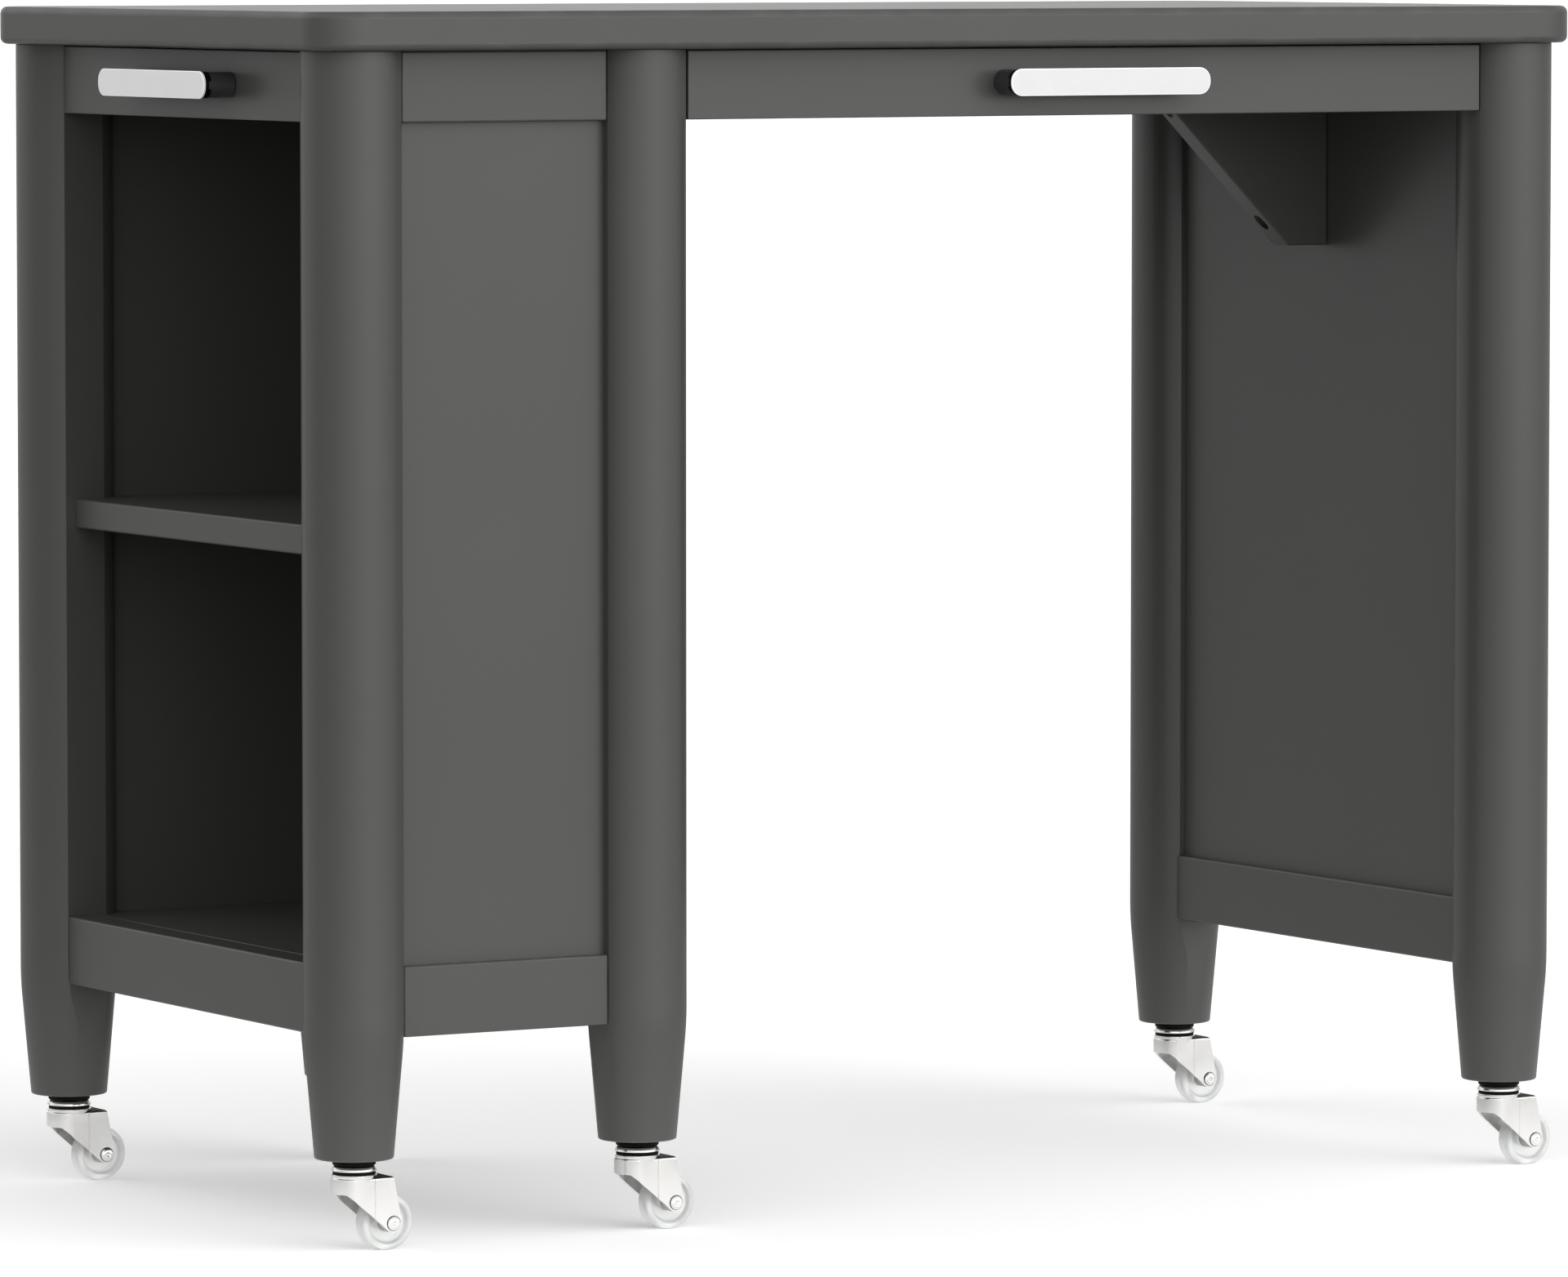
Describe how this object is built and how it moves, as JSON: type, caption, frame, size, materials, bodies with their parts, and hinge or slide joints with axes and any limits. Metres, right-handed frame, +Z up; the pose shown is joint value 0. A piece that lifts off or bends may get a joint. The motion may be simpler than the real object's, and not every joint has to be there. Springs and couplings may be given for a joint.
{
  "type": "sewing table",
  "caption": "Rolling sewing table with round tapered posts, a radiused top, an open side bay with a shelf, a knee space, shallow drawers with bar pulls and swivel casters.",
  "frame": {"origin": "on the floor, under the centre of the tabletop", "axes": "+X along the length of the top, from the open bay to the panelled end; +Y from the long front with its drawer to the back; +Z up"},
  "size_m": [0.941, 0.4826, 0.7748],
  "materials": {
    "anthracite_paint": "satin anthracite paint",
    "drawer_wood": "matt dark lacquer",
    "satin_metal": "satin",
    "zinc_screw": "zinc plated",
    "black_collar": "black, satin",
    "nickel_fork": "bright nickel plate",
    "clear_wheel": "clear polycarbonate"
  },
  "bodies": {
    "table": {"tabletop": "anthracite_paint", "post_front_left": "anthracite_paint", "post_back_left": "anthracite_paint", "post_front_middle": "anthracite_paint", "post_back_middle": "anthracite_paint", "post_front_right": "anthracite_paint", "post_back_right": "anthracite_paint", "pedestal_front_top_rail": "anthracite_paint", "pedestal_front_panel": "anthracite_paint", "pedestal_front_bottom_rail": "anthracite_paint", "pedestal_back_top_rail": "anthracite_paint", "pedestal_back_panel": "anthracite_paint", "pedestal_back_bottom_rail": "anthracite_paint", "pedestal_side_top_rail": "anthracite_paint", "pedestal_side_panel": "anthracite_paint", "pedestal_side_bottom_rail": "anthracite_paint", "right_end_top_rail": "anthracite_paint", "right_end_panel": "anthracite_paint", "right_end_bottom_rail": "anthracite_paint", "bay_bottom_rail": "anthracite_paint", "bay_shelf": "anthracite_paint", "bay_floor": "anthracite_paint", "back_apron": "anthracite_paint", "corner_brace": "anthracite_paint", "brace_screw_top": "zinc_screw", "brace_screw_side": "zinc_screw", "front_runner_left": "drawer_wood", "front_runner_right": "drawer_wood", "end_runner_left": "drawer_wood", "end_runner_right": "drawer_wood", "caster_stem_front_left": "black_collar", "caster_stem_back_left": "black_collar", "caster_stem_front_middle": "black_collar", "caster_stem_back_middle": "black_collar", "caster_stem_front_right": "black_collar", "caster_stem_back_right": "black_collar"},
    "front_drawer": {"front_drawer_front": "anthracite_paint", "front_drawer_left_side": "drawer_wood", "front_drawer_right_side": "drawer_wood", "front_drawer_back": "drawer_wood", "front_drawer_bottom": "drawer_wood", "front_pull": "satin_metal"},
    "end_drawer": {"end_drawer_front": "anthracite_paint", "end_drawer_left_side": "drawer_wood", "end_drawer_right_side": "drawer_wood", "end_drawer_back": "drawer_wood", "end_drawer_bottom": "drawer_wood", "end_pull": "satin_metal"},
    "fork_front_left": {"caster_fork_front_left": "nickel_fork"},
    "wheel_front_left": {"caster_wheel_front_left": "clear_wheel"},
    "fork_back_left": {"caster_fork_back_left": "nickel_fork"},
    "wheel_back_left": {"caster_wheel_back_left": "clear_wheel"},
    "fork_front_middle": {"caster_fork_front_middle": "nickel_fork"},
    "wheel_front_middle": {"caster_wheel_front_middle": "clear_wheel"},
    "fork_back_middle": {"caster_fork_back_middle": "nickel_fork"},
    "wheel_back_middle": {"caster_wheel_back_middle": "clear_wheel"},
    "fork_front_right": {"caster_fork_front_right": "nickel_fork"},
    "wheel_front_right": {"caster_wheel_front_right": "clear_wheel"},
    "fork_back_right": {"caster_fork_back_right": "nickel_fork"},
    "wheel_back_right": {"caster_wheel_back_right": "clear_wheel"}
  },
  "joints": [
    {"name": "front_drawer_slide", "type": "slide", "parent": "table", "child": "front_drawer", "axis": [0, -1, 0], "range_m": [0, 0.105]},
    {"name": "end_drawer_slide", "type": "slide", "parent": "table", "child": "end_drawer", "axis": [-1, 0, 0], "range_m": [0, 0.105]},
    {"name": "swivel_front_left", "type": "hinge", "parent": "table", "child": "fork_front_left", "pos_m": [-0.4316, -0.2024, 0.05], "axis": [0, 0, 1], "continuous": true},
    {"name": "swivel_back_left", "type": "hinge", "parent": "table", "child": "fork_back_left", "pos_m": [-0.4316, 0.2024, 0.05], "axis": [0, 0, 1], "continuous": true},
    {"name": "swivel_front_middle", "type": "hinge", "parent": "table", "child": "fork_front_middle", "pos_m": [-0.2286, -0.2024, 0.05], "axis": [0, 0, 1], "continuous": true},
    {"name": "swivel_back_middle", "type": "hinge", "parent": "table", "child": "fork_back_middle", "pos_m": [-0.2286, 0.2024, 0.05], "axis": [0, 0, 1], "continuous": true},
    {"name": "swivel_front_right", "type": "hinge", "parent": "table", "child": "fork_front_right", "pos_m": [0.4316, -0.2024, 0.05], "axis": [0, 0, 1], "continuous": true},
    {"name": "swivel_back_right", "type": "hinge", "parent": "table", "child": "fork_back_right", "pos_m": [0.4316, 0.2024, 0.05], "axis": [0, 0, 1], "continuous": true},
    {"name": "spin_front_left", "type": "hinge", "parent": "fork_front_left", "child": "wheel_front_left", "pos_m": [-0.4106, -0.2024, 0.0178], "axis": [0, 1, 0], "continuous": true},
    {"name": "spin_back_left", "type": "hinge", "parent": "fork_back_left", "child": "wheel_back_left", "pos_m": [-0.4106, 0.2024, 0.0178], "axis": [0, 1, 0], "continuous": true},
    {"name": "spin_front_middle", "type": "hinge", "parent": "fork_front_middle", "child": "wheel_front_middle", "pos_m": [-0.2076, -0.2024, 0.0178], "axis": [0, 1, 0], "continuous": true},
    {"name": "spin_back_middle", "type": "hinge", "parent": "fork_back_middle", "child": "wheel_back_middle", "pos_m": [-0.2076, 0.2024, 0.0178], "axis": [0, 1, 0], "continuous": true},
    {"name": "spin_front_right", "type": "hinge", "parent": "fork_front_right", "child": "wheel_front_right", "pos_m": [0.4526, -0.2024, 0.0178], "axis": [0, 1, 0], "continuous": true},
    {"name": "spin_back_right", "type": "hinge", "parent": "fork_back_right", "child": "wheel_back_right", "pos_m": [0.4526, 0.2024, 0.0178], "axis": [0, 1, 0], "continuous": true}
  ]
}
